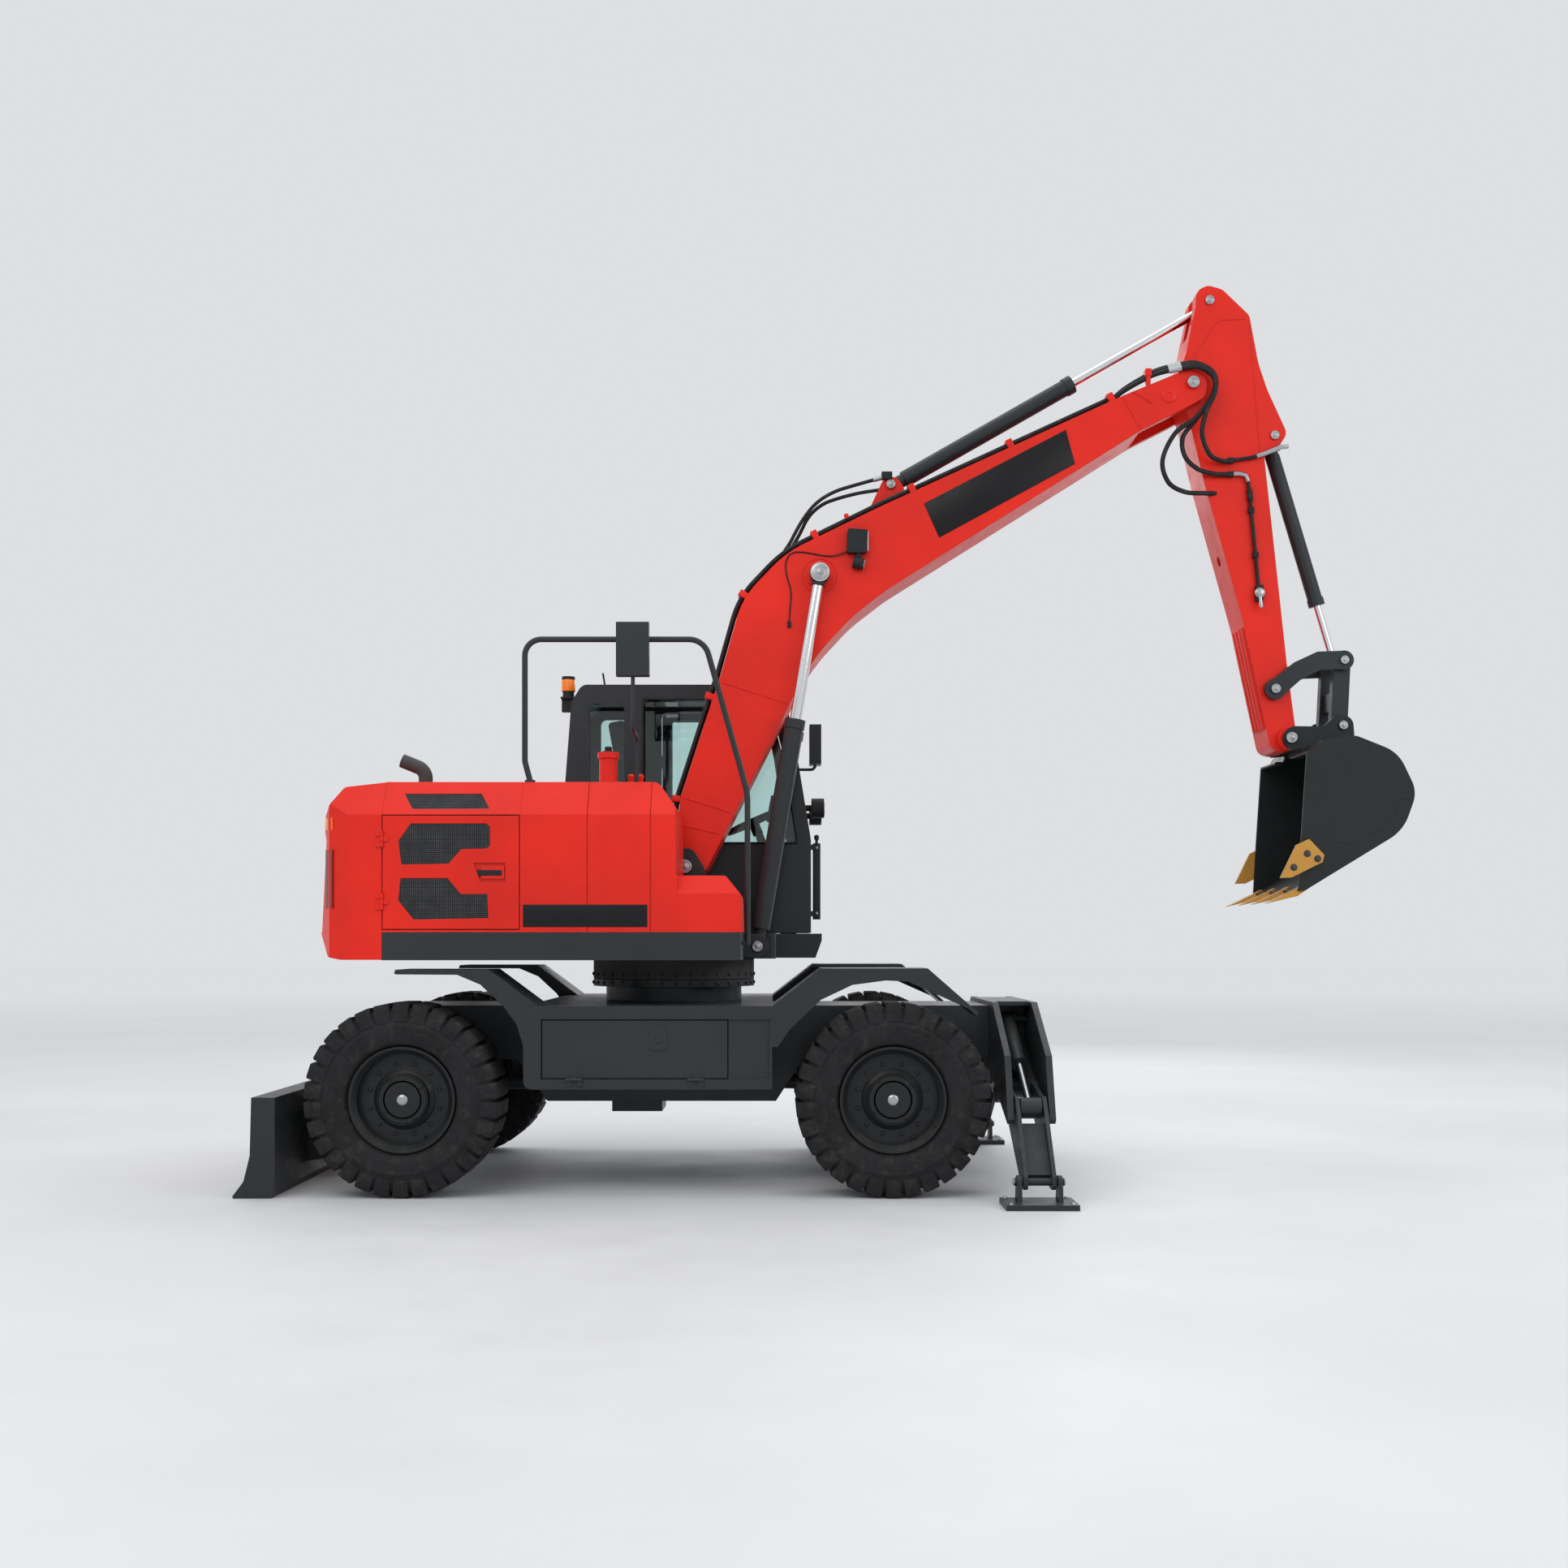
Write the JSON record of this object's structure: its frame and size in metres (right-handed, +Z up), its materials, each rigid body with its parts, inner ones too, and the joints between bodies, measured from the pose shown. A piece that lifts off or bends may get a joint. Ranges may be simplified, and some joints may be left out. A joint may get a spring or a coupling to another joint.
{
  "type": "wheeled excavator",
  "caption": "Wheeled excavator with a side cab, one-piece boom, stick and bucket, dozer blade at one end and stabiliser legs at the other.",
  "frame": {"origin": "on the ground, under the middle of the whole machine", "axes": "+X towards the stabilisers and the bucket, +Y to the cab side, +Z up"},
  "size_m": [6.6521, 3.35, 5.3263],
  "materials": {
    "body_paint": "satin",
    "frame_paint": "satin",
    "tyre_rubber": "matte",
    "rim_paint": "satin",
    "rod_chrome": "polished",
    "glass_tint": "polished",
    "plastic_dark": "matte",
    "tooth_paint": "satin",
    "hose_rubber": "matte",
    "steel_dark": "satin",
    "iron": "matte"
  },
  "bodies": {
    "chassis": {"chassis_frame": "frame_paint", "axles": "frame_paint", "side_boxes": "frame_paint", "fenders": "frame_paint", "stabiliser_housing": "frame_paint"},
    "wheel_rear_right": {"tyre_rear_right": "tyre_rubber", "rim_rear_right": "rim_paint"},
    "wheel_rear_left": {"tyre_rear_left": "tyre_rubber", "rim_rear_left": "rim_paint"},
    "wheel_front_right": {"tyre_front_right": "tyre_rubber", "rim_front_right": "rim_paint"},
    "wheel_front_left": {"tyre_front_left": "tyre_rubber", "rim_front_left": "rim_paint"},
    "knuckle_right": {"knuckle_right": "frame_paint"},
    "knuckle_left": {"knuckle_left": "frame_paint"},
    "tie_rod": {"tie_rod": "frame_paint"},
    "box_door": {"box_door": "frame_paint"},
    "blade": {"blade": "frame_paint"},
    "blade_barrels": {"blade_barrels": "frame_paint"},
    "blade_rods": {"blade_rods": "rod_chrome"},
    "upper": {"platform": "frame_paint", "slew_ring": "steel_dark", "counterweight": "body_paint", "engine_hood": "body_paint", "engine_block": "iron", "tank_cover": "body_paint", "exhaust": "steel_dark", "handrail": "frame_paint", "cab_shell": "frame_paint", "cab_glass": "glass_tint", "seat_and_controls": "plastic_dark", "lamps": "plastic_dark"},
    "hood_lid": {"hood_lid": "body_paint"},
    "side_door_right": {"side_door_right": "body_paint"},
    "side_door_left": {"side_door_left": "body_paint"},
    "cab_door": {"cab_door": "frame_paint", "cab_door_glass": "glass_tint"},
    "boom": {"boom": "body_paint", "boom_hoses": "hose_rubber", "boom_lamp": "plastic_dark"},
    "boom_barrels": {"boom_barrels": "frame_paint"},
    "boom_rods": {"boom_rods": "rod_chrome"},
    "stick": {"stick": "body_paint", "stick_pipes": "hose_rubber"},
    "stick_barrel": {"stick_barrel": "frame_paint"},
    "stick_rod": {"stick_rod": "rod_chrome"},
    "bucket": {"bucket": "frame_paint", "bucket_teeth": "tooth_paint"},
    "bucket_barrel": {"bucket_barrel": "frame_paint"},
    "bucket_rod": {"bucket_rod": "rod_chrome"},
    "rocker": {"rocker": "frame_paint"},
    "h_link": {"h_link": "frame_paint"},
    "leg_right": {"leg_right": "frame_paint"},
    "pad_right": {"pad_right": "frame_paint"},
    "leg_barrel_right": {"leg_barrel_right": "frame_paint"},
    "leg_rod_right": {"leg_rod_right": "rod_chrome"},
    "leg_left": {"leg_left": "frame_paint"},
    "pad_left": {"pad_left": "frame_paint"},
    "leg_barrel_left": {"leg_barrel_left": "frame_paint"},
    "leg_rod_left": {"leg_rod_left": "rod_chrome"}
  },
  "joints": [
    {"name": "wheel_rear_right_spin", "type": "hinge", "parent": "chassis", "child": "wheel_rear_right", "pos_m": [-2.443, -1.04, 0.53], "axis": [0, 1, 0], "continuous": true},
    {"name": "wheel_rear_left_spin", "type": "hinge", "parent": "chassis", "child": "wheel_rear_left", "pos_m": [-2.443, 1.04, 0.53], "axis": [0, 1, 0], "continuous": true},
    {"name": "steer_right", "type": "hinge", "parent": "chassis", "child": "knuckle_right", "pos_m": [0.22, -0.93, 0.53], "axis": [0, 0, 1], "range_deg": [-28, 28]},
    {"name": "steer_left", "type": "hinge", "parent": "chassis", "child": "knuckle_left", "pos_m": [0.22, 0.93, 0.53], "axis": [0, 0, 1], "range_deg": [-28, 28]},
    {"name": "tie_rod_turn", "type": "hinge", "parent": "knuckle_right", "child": "tie_rod", "pos_m": [0.055, -0.93, 0.392], "axis": [0, 0, 1], "range_deg": [-28, 28]},
    {"name": "wheel_front_right_spin", "type": "hinge", "parent": "knuckle_right", "child": "wheel_front_right", "pos_m": [0.22, -1.04, 0.53], "axis": [0, 1, 0], "continuous": true},
    {"name": "wheel_front_left_spin", "type": "hinge", "parent": "knuckle_left", "child": "wheel_front_left", "pos_m": [0.22, 1.04, 0.53], "axis": [0, 1, 0], "continuous": true},
    {"name": "slew", "type": "hinge", "parent": "chassis", "child": "upper", "pos_m": [-1.035, 0, 1.165], "axis": [0, 0, 1], "continuous": true},
    {"name": "box_door_hinge", "type": "hinge", "parent": "chassis", "child": "box_door", "pos_m": [-1.035, -1.21, 0.64], "axis": [1, 0, 0], "range_deg": [0, 100]},
    {"name": "hood_lid_hinge", "type": "hinge", "parent": "upper", "child": "hood_lid", "pos_m": [-1.821, 0, 2.289], "axis": [0, 1, 0], "range_deg": [0, 75]},
    {"name": "side_door_right_hinge", "type": "hinge", "parent": "upper", "child": "side_door_right", "pos_m": [-2.5465, -1.23, 1.75], "axis": [0, 0, -1], "range_deg": [0, 100]},
    {"name": "side_door_left_hinge", "type": "hinge", "parent": "upper", "child": "side_door_left", "pos_m": [-2.5465, 1.23, 1.75], "axis": [0, 0, 1], "range_deg": [0, 100]},
    {"name": "cab_door_hinge", "type": "hinge", "parent": "upper", "child": "cab_door", "pos_m": [-1.187, 1.234, 2.2], "axis": [0, 0, 1], "range_deg": [0, 150]},
    {"name": "boom_lift", "type": "hinge", "parent": "upper", "child": "boom", "pos_m": [-0.955, 0, 1.835], "axis": [0, -1, 0], "range_deg": [-70, 12]},
    {"name": "boom_barrels_swing", "type": "hinge", "parent": "upper", "child": "boom_barrels", "pos_m": [-0.524, 0, 1.361], "axis": [0, -1, 0], "range_deg": [-65.78, 11.29]},
    {"name": "boom_rods_slide", "type": "slide", "parent": "boom_barrels", "child": "boom_rods", "axis": [0.1647, 0, 0.9863], "range_m": [-0.7274, 0.1248]},
    {"name": "stick_swing", "type": "hinge", "parent": "boom", "child": "stick", "pos_m": [2.073, 0, 4.725], "axis": [0, 1, 0], "range_deg": [-90, 28]},
    {"name": "stick_barrel_swing", "type": "hinge", "parent": "boom", "child": "stick_barrel", "pos_m": [0.279, 0, 4.153], "axis": [0, 1, 0], "range_deg": [-4.94, 1.55]},
    {"name": "stick_rod_slide", "type": "slide", "parent": "stick_barrel", "child": "stick_rod", "axis": [0.8691, 0, 0.4946], "range_m": [-0.7048, 0.2194]},
    {"name": "bucket_curl", "type": "hinge", "parent": "stick", "child": "bucket", "pos_m": [2.658, 0, 2.605], "axis": [0, 1, 0], "range_deg": [-50, 90]},
    {"name": "rocker_swing", "type": "hinge", "parent": "stick", "child": "rocker", "pos_m": [2.574, 0, 2.902], "axis": [0, 1, 0], "range_deg": [-34.51, 62.11]},
    {"name": "h_link_swing", "type": "hinge", "parent": "bucket", "child": "h_link", "pos_m": [2.966, 0, 2.679], "axis": [0, 1, 0], "range_deg": [-69.31, 38.51]},
    {"name": "bucket_barrel_swing", "type": "hinge", "parent": "stick", "child": "bucket_barrel", "pos_m": [2.579, 0, 4.429], "axis": [0, 1, 0], "range_deg": [-0.76, 1.36]},
    {"name": "bucket_rod_slide", "type": "slide", "parent": "bucket_barrel", "child": "bucket_rod", "axis": [0.287, 0, -0.9579], "range_m": [-0.2358, 0.4243]},
    {"name": "blade_lift", "type": "hinge", "parent": "chassis", "child": "blade", "pos_m": [-2.725, 0, 0.56], "axis": [0, 1, 0], "range_deg": [-10, 25]},
    {"name": "blade_barrels_swing", "type": "hinge", "parent": "chassis", "child": "blade_barrels", "pos_m": [-2.735, 0, 0.88], "axis": [0, 1, 0], "range_deg": [-5.89, 14.7]},
    {"name": "blade_rods_slide", "type": "slide", "parent": "blade_barrels", "child": "blade_rods", "axis": [-0.54, 0, -0.8417], "range_m": [-0.0875, 0.0351]},
    {"name": "leg_right_lift", "type": "hinge", "parent": "chassis", "child": "leg_right", "pos_m": [0.963, -0.7, 0.56], "axis": [-1, 0, 0], "range_deg": [-4, 75]},
    {"name": "leg_barrel_right_swing", "type": "hinge", "parent": "chassis", "child": "leg_barrel_right", "pos_m": [0.963, -0.25, 0.93], "axis": [-1, 0, 0], "range_deg": [-1.81, 33.72]},
    {"name": "leg_rod_right_slide", "type": "slide", "parent": "leg_barrel_right", "child": "leg_rod_right", "axis": [0, -0.9063, -0.4226], "range_m": [-0.3589, 0.0193]},
    {"name": "pad_right_tilt", "type": "hinge", "parent": "leg_right", "child": "pad_right", "pos_m": [0.963, -1.525, 0.13], "axis": [1, 0, 0], "range_deg": [-20, 20]},
    {"name": "leg_left_lift", "type": "hinge", "parent": "chassis", "child": "leg_left", "pos_m": [0.963, 0.7, 0.56], "axis": [1, 0, 0], "range_deg": [-4, 75]},
    {"name": "leg_barrel_left_swing", "type": "hinge", "parent": "chassis", "child": "leg_barrel_left", "pos_m": [0.963, 0.25, 0.93], "axis": [1, 0, 0], "range_deg": [-1.81, 33.72]},
    {"name": "leg_rod_left_slide", "type": "slide", "parent": "leg_barrel_left", "child": "leg_rod_left", "axis": [0, 0.9063, -0.4226], "range_m": [-0.3589, 0.0193]},
    {"name": "pad_left_tilt", "type": "hinge", "parent": "leg_left", "child": "pad_left", "pos_m": [0.963, 1.525, 0.13], "axis": [1, 0, 0], "range_deg": [-20, 20]}
  ],
  "couplings": [
    {"joint": "steer_left", "follows": "steer_right", "ratio": 1},
    {"joint": "tie_rod_turn", "follows": "steer_right", "ratio": -1},
    {"joint": "boom_barrels_swing", "follows": "boom_lift", "ratio": 0.9395},
    {"joint": "boom_rods_slide", "follows": "boom_lift", "m_per_rad": 0.5953},
    {"joint": "stick_barrel_swing", "follows": "stick_swing", "ratio": 0.0547},
    {"joint": "stick_rod_slide", "follows": "stick_swing", "m_per_rad": 0.4486},
    {"joint": "rocker_swing", "follows": "bucket_curl", "ratio": 0.69},
    {"joint": "h_link_swing", "follows": "bucket_curl", "ratio": -0.77},
    {"joint": "bucket_barrel_swing", "follows": "bucket_curl", "ratio": 0.015},
    {"joint": "bucket_rod_slide", "follows": "bucket_curl", "m_per_rad": 0.27},
    {"joint": "blade_barrels_swing", "follows": "blade_lift", "ratio": 0.5873},
    {"joint": "blade_rods_slide", "follows": "blade_lift", "m_per_rad": -0.2002},
    {"joint": "leg_barrel_right_swing", "follows": "leg_right_lift", "ratio": 0.4494},
    {"joint": "leg_rod_right_slide", "follows": "leg_right_lift", "m_per_rad": -0.2741},
    {"joint": "leg_barrel_left_swing", "follows": "leg_left_lift", "ratio": 0.4494},
    {"joint": "leg_rod_left_slide", "follows": "leg_left_lift", "m_per_rad": -0.2741}
  ]
}
